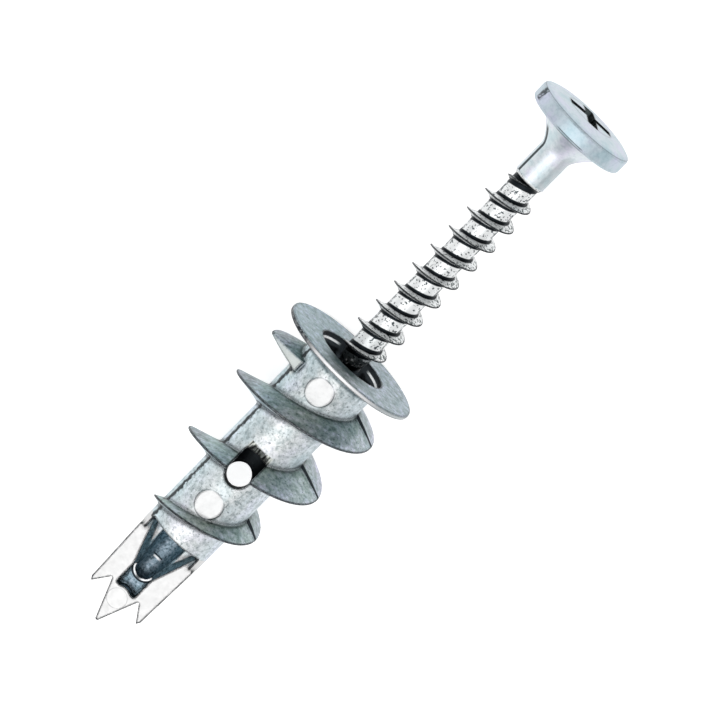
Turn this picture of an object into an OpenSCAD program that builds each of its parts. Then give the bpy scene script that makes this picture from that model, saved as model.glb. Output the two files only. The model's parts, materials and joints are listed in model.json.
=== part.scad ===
// Self-drilling drywall anchor with its screw started in the mouth.
// The anchor is one zinc casting and the screw is one plated steel piece.
// Each is drawn standing: the flange top is at z = 0, the tip points to -Z,
// the blade face looks to -Y. The pair is then laid down on its flange and thread.

/* [Anchor flange and core] */
// Diameter of the thin round flange
flange_d = 13.2; // [12.8:0.1:15]
// Thickness of the flange
flange_t = 0.45; // [0.4:0.05:0.8]
// Core diameter next to the flange
core_top_d = 7; // [6.9:0.05:7.6]
// Core diameter from the second thread turn to the blade
core_d = 6.25; // [6.1:0.05:6.8]
// Length of the anchor from the flange top to the centre point
anchor_l = 31.25; // [28.5:0.25:36]

/* [Anchor mouth and bore] */
// Diameter of the round mouth in the flange
mouth_d = 6.6; // [5.6:0.1:6.6]
// Depth of the seat inside the mouth
mouth_depth = 1.1; // [0.9:0.1:1.4]
// Width of the four wings of the drive recess
wing_w = 1.5; // [1.2:0.1:1.8]
// Depth of the wings of the drive recess
wing_depth = 5; // [4:0.25:6]
// Gap all round between the screw thread and the bore
bore_gap = 0.1; // [0.04:0.02:0.1]

/* [Anchor thread] */
// Diameter over the thread crests near the flange
thread_d = 12.6; // [11.6:0.1:12.8]
// Rise of the thread in one turn
thread_pitch = 6.36; // [5.8:0.1:7]
// Thickness of the thread where it leaves the core
thread_root_t = 2.3; // [1.9:0.1:2.6]
// Thickness of the thread at its crest
thread_crest_t = 0.2; // [0.16:0.02:0.4]

/* [Anchor windows] */
// Width of each side window
window_w = 2.2; // [1.8:0.1:2.4]
// Length of each side window with its round ends
window_l = 4.1; // [3.4:0.1:4.6]
// How much deeper the far window sits than the near one
window_stagger = 3.2; // [2.6:0.1:3.6]

/* [Drill blade] */
// Width of the blade at its shoulder
blade_w = 6.14; // [5.8:0.05:6.4]
// Width of the blade at its two side points
blade_end_w = 5.5; // [5.1:0.05:5.8]
// Distance of the blade face from the axis
blade_face = 1.5; // [1.3:0.05:1.7]
// Distance of the back of the blade from the axis
blade_back = 1.3; // [1.1:0.05:1.6]

/* [Screw] */
// Diameter over the screw thread
screw_d = 4.2; // [3.8:0.1:4.3]
// Diameter at the bottom of the screw thread
screw_root_d = 2.45; // [2.2:0.05:2.7]
// Rise of the screw thread in one turn
screw_pitch = 2.18; // [1.8:0.02:2.5]
// Length of the screw under its head
screw_l = 30; // [28:0.5:33]
// How far the screw point stands in the anchor
screw_in = 3.5; // [3:0.1:6]
// Diameter of the plain shank
shank_d = 2.95; // [2.7:0.05:3.2]
// Length of the plain shank with its fillet
shank_l = 5.3; // [4:0.1:7]
// Diameter of the screw head
head_d = 9.4; // [8.4:0.1:10.4]
// Height of the screw head
head_h = 1.95; // [1.95:0.05:2.8]
// Width of the four wings of the cross recess in the head
recess_w = 1; // [0.8:0.05:1.2]
// Depth of the cross recess in the head
recess_depth = 1.7; // [1.4:0.05:1.75]

/* [Hidden] */
body_color = "#b9bcc0";
screw_color = "#c8ccd2";
eps = 0.01;

// ---- anchor levels, all as depth below the flange top ----
rim_r = flange_d / 2;
rim_edge = 0.08;
step_top = 6.3;
step_low = 6.9;
cut_depth = 21.1;
shoulder_depth = 22.35;
core_end = 22.4;
wedge_end = 26.3;
notch_depth = 27.5;
prong_depth = 29.1;
notch_x = 1.55;
point_flat = 0.12;

// ---- trough in the blade face ----
bore_r = screw_d / 2 + bore_gap;
bore_end = 18.4;
exit_depth = 21;
exit_gap = 0.035;
exit_end_r = 1.05;
trough_top_w = 5;
trough_low_w = 2.06;
trough_low_depth = 25.4;
trough_step = 0.9;
ledge_y = -0.3;
pipe_end_depth = 25.3;
channel_end = 27.6;
blade_mark_d = 2;
blade_mark_depth = 28.4;

seat_r = mouth_d / 2 - 0.3;
seat_fall = 0.5;

// ---- flat round pads left by the ejector pins ----
pad_d = 2.5;
pad_high = 3;
pad_low = 16.7;
pad_sink = 0.07;

// ---- windows ----
window_top = 10.2;
window_far_top = window_top + window_stagger;
window_reach = 9;

// ---- anchor thread path: turn angle from the blunt start, in degrees ----
thread_r = thread_d / 2;
thread_start_angle = 223;
flat_turn = 223;
thread_start_depth = 3.05;
flat_fall = 1.35;
run_turn = 900;
fade_turn = 100;
thread_step = 10;
thread_turns = flat_turn + run_turn + fade_turn;
thread_steps = floor(thread_turns / thread_step);
first_straight = thread_start_depth + flat_fall;

// Depth of the thread after turning t degrees
function thread_depth(t) =
    t < flat_turn
        ? thread_start_depth + flat_fall * pow(t / flat_turn, 2)
        : first_straight + (t - flat_turn) / 360 * thread_pitch;

// Crest radius of the thread after turning t degrees
narrow_a = 683;
narrow_b = 863;
narrow_c = 943;
narrow_d = 1123;
fade_r = core_d / 2 + 0.02;
function mix(a, b, k) = a + (b - a) * min(1, max(0, k));
start_turn = 40;
start_half = 0.6;
function thread_crest(t) =
    t < start_turn ? mix(core_top_d / 2, thread_r + 0.1, pow(t / start_turn, 1.6))
    : t < narrow_a ? mix(thread_r + 0.1, thread_r - 0.15, t / narrow_a)
    : t < narrow_b ? mix(thread_r - 0.15, thread_r - 0.9, (t - narrow_a) / (narrow_b - narrow_a))
    : t < narrow_c ? mix(thread_r - 0.9, thread_r - 1.4, (t - narrow_b) / (narrow_c - narrow_b))
    : t < narrow_d ? mix(thread_r - 1.4, thread_r - 2.4, (t - narrow_c) / (narrow_d - narrow_c))
    : mix(thread_r - 2.4, fade_r, (t - narrow_d) / fade_turn);
root_above = 0.6;
function thin(t) = mix(1, 0.8, (t - flat_turn) / 540) * mix(1, 0.45, (t - narrow_b) / 300);
function thread_root(t) = thread_root_t * mix(0.55, 1, t / 60) * thin(t);
function thread_crest_half(t) =
    mix(start_half, thread_crest_t / 2, t / start_turn) * mix(1, 0.6, (t - narrow_c) / 200);

// ---- resting pose: how far the tip dips until a thread crest meets the ground ----
lay_roll = -8;
crest_turns = [for (i = [0:1:thread_steps]) i * thread_step];
function below(t) = thread_crest(t) * cos(thread_start_angle - t - 90 + lay_roll);
function dip(t) = atan2(rim_r - below(t), thread_depth(t) - flange_t);
lay_tilt = min([for (t = crest_turns) dip(t)]);
function reach(r, d) = r * cos(lay_tilt) + d * sin(lay_tilt);
rim_reach = reach(rim_r, flange_t - rim_edge);
crest_reach = max([for (t = crest_turns) reach(below(t), thread_depth(t))]);
lay_lift = max(rim_reach, crest_reach);

// ---- screw levels, measured up from the flange top ----
point_z = -screw_in;
under_head = screw_l - screw_in;
cone_l = 4.2;
point_r = 0.12;
low_thread = 0.2;
rise_from = 3.4;
rise_l = 2;
root_r = screw_root_d / 2;
head_rim = 1.6;
head_edge = 0.35;
recess_span = 4.4;
recess_taper = 0.62;
screw_step = 15;
crest_half = 0.09;
root_half = 0.45;
thread_from = 0.91;
leave_l = 2.4;
thread_len = screw_l - shank_l;
flare_l = 2.3;
flare_w = 1.9;
recess_turn = 17;

// ---- middle of the laid pair along X ----
head_x = (under_head + head_h) * cos(lay_tilt);
tip_x = anchor_l * cos(lay_tilt) + blade_face * sin(lay_tilt);
lay_shift = (tip_x - head_x) / 2;

// Lays a standing piece down: tip to -X, blade face up
module laid() {
    translate([lay_shift, 0, lay_lift])
        rotate([0, -lay_tilt, 0])
            rotate([-90, 0, -90])
                rotate([0, 0, lay_roll])
                    children();
}

// Four-winged cross that narrows downward: top at z = 0
module cross_taper(span, width, deep, low) {
    for (turn = [0, 90])
        rotate([90, 0, turn])
            linear_extrude(height = width, center = true)
                polygon([
                    [-span / 2, eps],
                    [span / 2, eps],
                    [span / 2 * low, -deep],
                    [-span / 2 * low, -deep]
                ]);
}

// Slot with round ends, cut along Y, from the top depth downward
module slot(top, from_y, to_y) {
    r = window_w / 2;
    for (d = [top + r, top + window_l - r])
        translate([0, to_y, -d])
            rotate([90, 0, 0])
                cylinder(h = to_y - from_y, r = r, $fn = 48);
    translate([-r, from_y, -(top + window_l - r)])
        cube([window_w, to_y - from_y, window_l - window_w]);
}

// Coarse thread of the anchor, one closed helical ridge
module anchor_thread() {
    ri = core_d / 2 - 0.35;
    rows = [for (i = [0:1:thread_steps])
        let (
            t = i * thread_step,
            a = thread_start_angle - t,
            d = thread_depth(t),
            rc = thread_crest(t),
            hc = thread_crest_half(t),
            up = thread_root(t) * root_above,
            low = thread_root(t) * (1 - root_above)
        )
        [
            [ri * cos(a), ri * sin(a), -d + max(up, hc)],
            [rc * cos(a), rc * sin(a), -d + hc],
            [rc * cos(a), rc * sin(a), -d - hc],
            [ri * cos(a), ri * sin(a), -d - max(low, hc)]
        ]];
    points = [for (row = rows) for (p = row) p];
    sides = [for (i = [0:1:thread_steps - 1]) for (k = [0:3])
        let (a = 4 * i + k, b = 4 * i + (k + 1) % 4, c = b + 4, e = a + 4)
        each [[a, b, c], [a, c, e]]];
    last = 4 * thread_steps;
    caps = [[2, 1, 0], [3, 2, 0], [last, last + 1, last + 2], [last, last + 2, last + 3]];
    polyhedron(points, concat(sides, caps));
}

// Blade outline, seen on its face
module blade_outline() {
    polygon([
        [-blade_w / 2, -shoulder_depth],
        [blade_w / 2, -shoulder_depth],
        [blade_end_w / 2 + 0.1, -prong_depth + 0.35],
        [blade_end_w / 2 - 0.12, -prong_depth],
        [notch_x, -notch_depth],
        [point_flat, -anchor_l],
        [-point_flat, -anchor_l],
        [-notch_x, -notch_depth],
        [-blade_end_w / 2 + 0.12, -prong_depth],
        [-blade_end_w / 2 - 0.1, -prong_depth + 0.35]
    ]);
}

// Side shape of the blade: flat face, back that thins to the tip
module blade_side() {
    polygon([
        [-blade_face, -shoulder_depth + 1],
        [core_d / 2 - 0.6, -shoulder_depth + 1],
        [core_d / 2 - 0.6, -core_end],
        [blade_back, -wedge_end],
        [blade_back, -anchor_l - 1],
        [-blade_face, -anchor_l - 1]
    ]);
}

module blade() {
    intersection() {
        translate([0, 10, 0])
            rotate([90, 0, 0])
                linear_extrude(height = 20)
                    blade_outline();
        rotate([90, 0, 90])
            translate([0, 0, -10])
                linear_extrude(height = 20)
                    blade_side();
    }
}

// Tapering trough in the blade face, with ledges beside the closing end of the bore
module trough() {
    face_r = trough_top_w / 2;
    low_r = trough_low_w / 2;
    exit_r = screw_root_d / 2 + exit_gap;
    intersection() {
        translate([0, -blade_face, -trough_low_depth])
            cylinder(h = trough_low_depth - cut_depth, r1 = low_r, r2 = face_r, $fn = 64);
        translate([-5, ledge_y - 10, -trough_low_depth - 1])
            cube([10, 10, 8]);
    }
    translate([-low_r, -blade_face - 3, -channel_end])
        cube([trough_low_w, 3 + trough_step, channel_end - trough_low_depth + eps]);
    translate([0, 0, -exit_depth])
        cylinder(h = exit_depth - bore_end, r1 = exit_r, r2 = bore_r, $fn = 64);
    translate([0, 0, -pipe_end_depth])
        cylinder(h = pipe_end_depth - exit_depth + eps, r1 = exit_end_r, r2 = exit_r, $fn = 64);
    translate([0, 0, -pipe_end_depth])
        sphere(r = exit_end_r, $fn = 48);
    translate([-face_r, -core_d, -core_end - 0.3])
        cube([trough_top_w, core_d - blade_face + eps, core_end + 0.3 - cut_depth]);
}

// Round mark of an ejector pin on the blade face
module blade_mark() {
    translate([0, -blade_face + trough_step + 0.4, -blade_mark_depth])
        rotate([90, 0, 0])
            cylinder(h = trough_step + 0.4, d = blade_mark_d, $fn = 48);
}

module pad(depth, r) {
    translate([0, 0, -depth])
        rotate([90, 0, 0])
            translate([0, 0, r - 1])
                cylinder(h = 1 - pad_sink, d = pad_d, $fn = 48);
}

module pad_clear(depth, r) {
    translate([0, 0, -depth])
        rotate([90, 0, 0])
            translate([0, 0, r - pad_sink])
                cylinder(h = 1, d = pad_d, $fn = 48);
}

module core_and_flange() {
    rotate_extrude($fn = 96)
        polygon([
            [0, 0],
            [rim_r - rim_edge, 0],
            [rim_r, -rim_edge],
            [rim_r, -flange_t + rim_edge],
            [rim_r - rim_edge, -flange_t],
            [core_top_d / 2 + 0.25, -flange_t],
            [core_top_d / 2, -flange_t - 0.25],
            [core_top_d / 2, -step_top],
            [core_d / 2, -step_low],
            [core_d / 2, -core_end],
            [0, -core_end]
        ]);
}

module anchor_body() {
    color(body_color)
        laid()
            difference() {
                union() {
                    difference() {
                        union() {
                            core_and_flange();
                            anchor_thread();
                            pad(pad_high, core_top_d / 2);
                            pad(pad_low, core_d / 2);
                            blade();
                        }
                        pad_clear(pad_high, core_top_d / 2);
                        pad_clear(pad_low, core_d / 2);
                        trough();
                    }
                    blade_mark();
                }
                // mouth with its seat, drive recess and bore
                translate([0, 0, -mouth_depth])
                    cylinder(h = mouth_depth + eps, r1 = seat_r, r2 = mouth_d / 2, $fn = 64);
                translate([0, 0, -mouth_depth - seat_fall])
                    cylinder(h = seat_fall + eps, r1 = bore_r, r2 = seat_r, $fn = 64);
                translate([0, 0, -bore_end - eps])
                    cylinder(h = bore_end, r = bore_r, $fn = 64);
                rotate([0, 0, 45])
                    cross_taper(2 * seat_r, wing_w, wing_depth, 0.8);
                slot(window_top, -window_reach, 0);
                slot(window_far_top, 0, window_reach);
            }
}

// Screw thread, one closed helical ridge that runs onto the point
module screw_thread() {
    sink = 0.25;
    steps = floor((thread_len - thread_from) / screw_pitch * 360 / screw_step);
    rows = [for (i = [0:1:steps])
        let (
            t = i * screw_step,
            z = point_z + thread_from + t / 360 * screw_pitch,
            up = z - point_z,
            top = point_z + thread_len - z,
            rr = min(root_r, point_r + up * (root_r - point_r) / cone_l),
            full = mix(low_thread, 1, (up - rise_from) / rise_l),
            leave = min(1, max(0.05, top / leave_l)),
            rc = rr + (screw_d / 2 - root_r) * full * leave,
            hr = root_half * (0.25 + 0.75 * full) * (0.4 + 0.6 * leave),
            hc = crest_half,
            ri = max(0.03, rr - sink * min(1, up / cone_l))
        )
        [
            [ri * cos(t), ri * sin(t), z - hr],
            [rc * cos(t), rc * sin(t), z - hc],
            [rc * cos(t), rc * sin(t), z + hc],
            [ri * cos(t), ri * sin(t), z + hr]
        ]];
    points = [for (row = rows) for (p = row) p];
    sides = [for (i = [0:1:steps - 1]) for (k = [0:3])
        let (a = 4 * i + k, b = 4 * i + (k + 1) % 4, c = b + 4, e = a + 4)
        each [[a, b, c], [a, c, e]]];
    last = 4 * steps;
    caps = [[2, 1, 0], [3, 2, 0], [last, last + 1, last + 2], [last, last + 2, last + 3]];
    polyhedron(points, concat(sides, caps));
}

module screw_core() {
    rotate_extrude($fn = 64)
        polygon([
            [0, point_z],
            [point_r, point_z],
            [root_r, point_z + cone_l],
            [root_r, under_head - shank_l - 0.3],
            [shank_d / 2, under_head - shank_l],
            [shank_d / 2, under_head - flare_l],
            [shank_d / 2 + flare_w * 0.09, under_head - flare_l * 0.8],
            [shank_d / 2 + flare_w * 0.25, under_head - flare_l * 0.6],
            [shank_d / 2 + flare_w * 0.46, under_head - flare_l * 0.4],
            [shank_d / 2 + flare_w * 0.72, under_head - flare_l * 0.2],
            [shank_d / 2 + flare_w, under_head],
            [head_d / 2 - head_edge, under_head],
            [head_d / 2 - head_edge * 0.3, under_head + head_edge * 0.3],
            [head_d / 2, under_head + head_edge],
            [head_d / 2, under_head + head_rim - head_edge],
            [head_d / 2 - head_edge * 0.3, under_head + head_rim - head_edge * 0.3],
            [head_d / 2 - head_edge, under_head + head_rim],
            [head_d / 2 * 0.72, under_head + mix(head_rim, head_h, 0.5)],
            [head_d / 2 * 0.42, under_head + mix(head_rim, head_h, 0.84)],
            [0, under_head + head_h]
        ]);
}

module screw() {
    color(screw_color)
        laid()
            difference() {
                union() {
                    screw_core();
                    screw_thread();
                }
                translate([0, 0, under_head + head_h])
                    rotate([0, 0, recess_turn])
                        cross_taper(recess_span, recess_w, recess_depth, recess_taper);
            }
}

anchor_body();
screw();
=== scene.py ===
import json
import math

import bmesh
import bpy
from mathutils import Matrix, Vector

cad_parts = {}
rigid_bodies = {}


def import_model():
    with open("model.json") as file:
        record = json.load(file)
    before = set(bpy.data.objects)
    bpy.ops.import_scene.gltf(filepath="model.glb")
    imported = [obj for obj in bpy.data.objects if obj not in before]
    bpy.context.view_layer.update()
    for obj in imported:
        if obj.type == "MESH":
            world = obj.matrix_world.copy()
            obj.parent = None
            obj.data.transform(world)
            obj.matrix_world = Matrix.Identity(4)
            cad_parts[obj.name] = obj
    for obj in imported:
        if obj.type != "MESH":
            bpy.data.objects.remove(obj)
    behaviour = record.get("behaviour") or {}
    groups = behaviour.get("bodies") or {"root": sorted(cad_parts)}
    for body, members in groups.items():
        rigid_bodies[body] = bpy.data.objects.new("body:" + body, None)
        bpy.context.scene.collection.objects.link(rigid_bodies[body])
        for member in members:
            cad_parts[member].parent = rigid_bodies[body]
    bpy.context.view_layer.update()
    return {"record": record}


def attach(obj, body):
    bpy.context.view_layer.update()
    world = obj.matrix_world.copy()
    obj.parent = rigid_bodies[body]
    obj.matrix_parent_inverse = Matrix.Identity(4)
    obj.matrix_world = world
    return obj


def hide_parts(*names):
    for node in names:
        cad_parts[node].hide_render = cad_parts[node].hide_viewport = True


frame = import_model()

# %% [markdown]
# # A self-drilling drywall anchor with its screw
# The anchor is one zinc casting: a flange, a hollow core, a coarse thread and a flat drill blade.
# A plated steel screw is started in its mouth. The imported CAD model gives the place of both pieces.
# This lesson rebuilds each piece with a finer surface, gives it a finish, and lights it on a white table.

# %% [markdown]
# ## A drawing position
# The pair lies at a slight tilt, and it would be awkward to draw a piece at that tilt.
# So every piece is drawn standing up, in millimetres, with the flange top at height 0 and the tip below.
# One matrix then lays the finished piece down and turns its millimetres into metres.

MM = 0.001
FLANGE_R, FLANGE_T = 6.6, 0.45

mounts = {mount["name"]: mount for mount in frame["record"]["mounts"]}
along = Vector(mounts["flange_face"]["axis"]).normalized()
flange_centre = Vector(mounts["board_hole"]["pos_m"]) + along * (FLANGE_T * MM)
blade_side = (Vector(mounts["flange_face"]["pos_m"]) - flange_centre).normalized()
right_side = along.cross(blade_side).normalized()
turn = Matrix((right_side, -blade_side, along)).transposed().to_4x4()
lay_down = Matrix.Translation(flange_centre) @ turn @ Matrix.Scale(MM, 4)
print("The axis rises", round(math.degrees(math.asin(along.z)), 2), "degrees towards the head")

# %% [markdown]
# ## Tools for solids
# Turned and threaded things need only two basic moves: spin a profile, or join a row of loops.
# Blender's Screw modifier could spin a profile too, but loops made in code can change shape as they go,
# and a thread needs that where it starts, tapers and fades out.

# %% A mesh from points and faces
def mix(a, b, k):
    """The value a share k of the way from a to b."""
    return a + (b - a) * min(1.0, max(0.0, k))


def make_object(name, points, faces):
    """A mesh object from points and faces, with its faces turned outward."""
    mesh = bpy.data.meshes.new(name)
    mesh.from_pydata(points, [], faces)
    shape = bmesh.new()
    shape.from_mesh(mesh)
    bmesh.ops.remove_doubles(shape, verts=shape.verts, dist=1e-4)
    bmesh.ops.recalc_face_normals(shape, faces=shape.faces)
    shape.to_mesh(mesh)
    shape.free()
    obj = bpy.data.objects.new(name, mesh)
    bpy.context.scene.collection.objects.link(obj)
    return obj


def triangles(obj):
    """How many triangles the object's faces make."""
    return sum(len(face.vertices) - 2 for face in obj.data.polygons)


print("A third of the way from 3 to 6 is", mix(3, 6, 1 / 3))

# %% Loops joined into a tube, and a profile spun about the axis
AROUND = 160


def polar(r, angle):
    """A point on a circle."""
    return r * math.cos(angle), r * math.sin(angle)


def sweep(name, rows):
    """A closed tube through a list of loops that all have the same number of points."""
    n = len(rows[0])
    faces = []
    for row in range(len(rows) - 1):
        for i in range(n):
            a, b = row * n + i, row * n + (i + 1) % n
            faces.append((a, b, b + n, a + n))
    last = (len(rows) - 1) * n
    faces.append(tuple(range(n))[::-1])
    faces.append(tuple(range(last, last + n)))
    return make_object(name, [point for row in rows for point in row], faces)


def lathe(name, profile, around=AROUND):
    """A solid of revolution about the axis. The profile holds (radius, height) pairs."""
    angles = [2 * math.pi * i / around for i in range(around)]
    return sweep(name, [[(*polar(r, angle), z) for angle in angles] for r, z in profile])


print("On the flange,", AROUND, "steps make sides of", round(2 * math.pi * FLANGE_R / AROUND, 2), "mm")

# %% Plates, blocks, arcs and pegs
def plate(name, outline, y0, y1):
    """An outline of (x, z) pairs, drawn out along y."""
    return sweep(name, [[(x, y0, z) for x, z in outline], [(x, y1, z) for x, z in outline]])


def side_plate(name, outline, x0, x1):
    """An outline of (y, z) pairs, drawn out along x."""
    return sweep(name, [[(x0, y, z) for y, z in outline], [(x1, y, z) for y, z in outline]])


def block(name, low, high):
    """A square-edged block between two corners."""
    outline = [(low[0], low[2]), (high[0], low[2]), (high[0], high[2]), (low[0], high[2])]
    return plate(name, outline, low[1], high[1])


def arc(x, z, wide, tall, first, last, step):
    """Points of an arc about (x, z), from the first to the last degree."""
    angles = [math.radians(degrees) for degrees in range(first, last + 1, step)]
    return [(x + wide * math.cos(angle), z + tall * math.sin(angle)) for angle in angles]


def peg(name, depth, radius, y0, y1, steps=64):
    """A round peg that runs along y at some depth."""
    circle = [polar(radius, 2 * math.pi * i / steps) for i in range(steps)]
    return plate(name, [(across, up - depth) for across, up in circle], y0, y1)


print("A quarter of a circle in steps of 15 degrees has", len(arc(0, 0, 1, 1, 0, 90, 15)), "points")

# %% Joining and cutting
def settle(obj):
    """Replaces the object's mesh with what its modifiers make of it."""
    bpy.context.view_layer.update()
    done = obj.evaluated_get(bpy.context.evaluated_depsgraph_get())
    mesh = bpy.data.meshes.new_from_object(done)
    obj.modifiers.clear()
    obj.data = mesh


def combine(base, others, operation):
    """Adds, cuts or intersects the others with the base, then removes the others."""
    for other in others:
        change = base.modifiers.new("combine", "BOOLEAN")
        change.operation = operation
        change.solver = "MANIFOLD"
        change.object = other
        settle(base)
        bpy.data.objects.remove(other)
    return base


print("Solids are joined with UNION, cut with DIFFERENCE and trimmed with INTERSECT")

# %% [markdown]
# ## The casting: flange and core
# Zinc is cast in a steel die, so the flange, core, thread and blade are one piece.
# The flange and core are round about the axis, so one lathe profile gives both.
# A die leaves the flange's rim and the corner under it slightly rounded.

# %% Flange and core
CORE_TOP_R, CORE_R, CORE_END = 3.5, 3.125, 22.4
STEP_TOP, STEP_LOW = 6.3, 6.9
RIM, BEVEL, FILLET = 0.1, 0.03, 0.28

core = lathe("anchor_casting", [
    (0, 0), (FLANGE_R - RIM, 0), (FLANGE_R - BEVEL, -BEVEL), (FLANGE_R, -RIM),
    (FLANGE_R, RIM - FLANGE_T), (FLANGE_R - BEVEL, BEVEL - FLANGE_T), (FLANGE_R - RIM, -FLANGE_T),
    (CORE_TOP_R + FILLET, -FLANGE_T), (CORE_TOP_R + 0.1, -0.52), (CORE_TOP_R, -0.7),
    (CORE_TOP_R, -STEP_TOP), (CORE_R, -STEP_LOW), (CORE_R, -CORE_END), (0, -CORE_END),
])
print("Flange and core:", triangles(core), "triangles")

# %% [markdown]
# ## The casting: thread
# The coarse thread bites into plasterboard. It starts with a blunt end under the flange, falls gently
# into its full lead, and narrows to nothing above the blade. Each cross-section is one loop of seven
# points, and a sweep joins the loops. The two halves of the die meet at the right, where the flank
# behind stands a little higher.

# %% Course of the thread
START_ANGLE, START_DEPTH, START_TURN = 223, 3.05, 40
FLAT_TURN, FLAT_FALL = 223.0, 1.35
FADE_FROM, WHOLE_TURN, LEAD = 1123.0, 1223.0, 6.36
NARROW_FROM, TAIL_FROM = 863, 943
# Degrees turned since the start, and the crest's radius there once the blunt start is past.
CREST = [
    (0, 6.38), (683, 6.13), (NARROW_FROM, 5.38), (TAIL_FROM, 4.88), (FADE_FROM, 3.88), (WHOLE_TURN, 3.0),
]


def thread_depth(t):
    """How far below the flange top the thread runs, t degrees after its start."""
    if t < FLAT_TURN:
        return START_DEPTH + FLAT_FALL * (t / FLAT_TURN) ** 2
    return START_DEPTH + FLAT_FALL + (t - FLAT_TURN) / 360 * LEAD


def thread_crest(t):
    """The radius of the thread's crest, t degrees after its start."""
    if t < START_TURN:
        return mix(CORE_TOP_R + FILLET, CREST[0][1], (t / START_TURN) ** 1.4)
    for (begin, wide), (end, narrow) in zip(CREST, CREST[1:]):
        if t < end:
            return mix(wide, narrow, (t - begin) / (end - begin))
    return CREST[-1][1]


print("The thread is", round(2 * thread_crest(START_TURN), 1), "mm wide under the flange")
print("It runs from", START_DEPTH, "to", round(thread_depth(WHOLE_TURN), 1), "mm below the flange top")

# %% Sweep of the thread
THREAD_INNER, ROOT_T, START_HALF, CREST_HALF = 2.775, 2.3, 0.6, 0.1
SWELL_TURN, BEND, CREST_ROUND = 60, 0.55, 0.06
DIE_STEP, DIE_STEP_TURN = 0.26, 55
THREAD_STEP = 3.0


def thread_root(t):
    """How thick the thread is at its root: it swells from the start, then thins toward the tip."""
    swell = mix(0.55, 1, t / SWELL_TURN)
    taper = mix(1, 0.8, (t - FLAT_TURN) / 540)
    tail = mix(1, 0.45, (t - NARROW_FROM) / 300)
    return ROOT_T * swell * taper * tail


def die_step(t):
    """How far the flank stands up behind the line where the die halves meet."""
    behind = ((START_ANGLE - t) % 360) / DIE_STEP_TURN
    return DIE_STEP * (1 - behind) ** 1.5 if behind < 1 and t > SWELL_TURN else 0.0


def thread_ring(t):
    """One cross-section of the thread, as a loop of points."""
    root, step, crest, depth = thread_root(t), die_step(t), thread_crest(t), thread_depth(t)
    half = mix(START_HALF, CREST_HALF, t / START_TURN) * mix(1, 0.6, (t - TAIL_FROM) / 200)
    bend = THREAD_INNER + (crest - THREAD_INNER) * BEND
    up, low = max(root * 0.6, half), max(root * 0.4, half)
    loop = [
        (THREAD_INNER, up + step), (bend, mix(up, half, BEND) + step * 0.85),
        (crest - CREST_ROUND, half + step * 0.45), (crest, half * 0.4),
        (crest, -half * 0.4), (crest - CREST_ROUND, -half), (THREAD_INNER, -low),
    ]
    return [(*polar(r, math.radians(START_ANGLE - t)), z - depth) for r, z in loop]


thread = sweep("thread", [thread_ring(i * THREAD_STEP) for i in range(int(WHOLE_TURN / THREAD_STEP) + 1)])
print("Thread:", round(WHOLE_TURN / 360, 1), "turns,", triangles(thread), "triangles")

# %% [markdown]
# ## The casting: drill blade and pin marks
# The blade is a flat plate with three points: a long one on the axis and a prong at each side.
# It is an outline drawn out along the depth, trimmed by a second outline seen from the side.
# The pins that push the casting out of the die leave flat round marks on the blade side.

# %% Blade and pin marks
SHOULDER, PRONG, NOTCH, TIP = 22.35, 29.1, 27.5, 31.25
BLADE_FACE, BLADE_BACK, FAR = 1.5, 1.3, 10
# Depth and radius of each pin mark, and how far it stands in front of the axis.
PADS = [(3.15, 1.22, 3.43), (16.7, 1.25, 3.055)]

right_edge = [(3.07, -SHOULDER), (2.85, 0.35 - PRONG), (2.63, -PRONG), (1.55, -NOTCH), (0.12, -TIP)]
left_edge = [(-x, z) for x, z in right_edge[::-1]]
blade_sides = [
    (-BLADE_FACE, -20), (2.5, -20), (2.5, -CORE_END),
    (BLADE_BACK, -26.3), (BLADE_BACK, -33), (-BLADE_FACE, -33),
]
blade = plate("blade", right_edge + left_edge, -FAR, FAR)
combine(blade, [side_plate("blade sides", blade_sides, -FAR, FAR)], "INTERSECT")
combine(core, [thread, blade], "UNION")
combine(core, [peg("pad", depth, radius, -front, -2) for depth, radius, front in PADS], "UNION")
combine(core, [peg("clear", depth, radius, -5, -front) for depth, radius, front in PADS], "DIFFERENCE")
print("Solid casting:", triangles(core), "triangles")

# %% [markdown]
# ## The casting: what is cut away
# The bore holds the screw, and the four wings below the mouth take a cross driver. The side windows
# and the trough are left by slides in the die. Each is drawn as a solid of its own and taken away,
# as a machinist would think of it, so every wall stays as thick as it should be.

# %% Mouth, bore and drive wings
MOUTH_R, BORE_R, BORE_END = 3.3, 2.2, 18.4
PIPE_R, PIPE_END = 1.05, 25.3
CUT_AROUND = 96


def tapered_wing(top, low, depth, width, lift):
    """One pair of wings of a cross recess, narrower at the bottom."""
    outline = [(-top, lift), (top, lift), (top, 0), (low, -depth), (-low, -depth), (-top, 0)]
    return plate("wing", outline, -width / 2, width / 2)


mouth = [(0, 1), (MOUTH_R, 1), (MOUTH_R, 0), (3.24, -0.35), (2.9, -0.9), (2.86, -1.1)]
bore = [(BORE_R, -1.6), (BORE_R, -BORE_END), (1.26, -21.0), (PIPE_R, -PIPE_END)]
round_end = [(0.99, -25.65), (0.8, -25.98), (0.5, -26.22), (0, -26.35)]
cuts = [lathe("mouth", mouth + bore + round_end, CUT_AROUND)]
for angle in (45, 135):
    wing = tapered_wing(top=3.0, low=2.4, depth=5.0, width=1.5, lift=0.5)
    wing.data.transform(Matrix.Rotation(math.radians(angle), 4, "Z"))
    cuts.append(wing)
print("The bore is", 2 * BORE_R, "mm across and narrows from", BORE_END, "mm down")

# %% Side windows
WINDOW_R, WINDOW_L, FRONT_TOP, BACK_TOP = 1.1, 4.1, 10.2, 13.4
SLOPE_TOP, SLOPE_LOW = 10.1, 11.1


def window(top, y0, y1):
    """A slot with round ends through one wall."""
    upper = arc(0, -top - WINDOW_R, WINDOW_R, WINDOW_R, 0, 180, 6)
    lower = arc(0, -top - WINDOW_L + WINDOW_R, WINDOW_R, WINDOW_R, 180, 360, 6)
    return plate("window", upper + lower, y0, y1)


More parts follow.
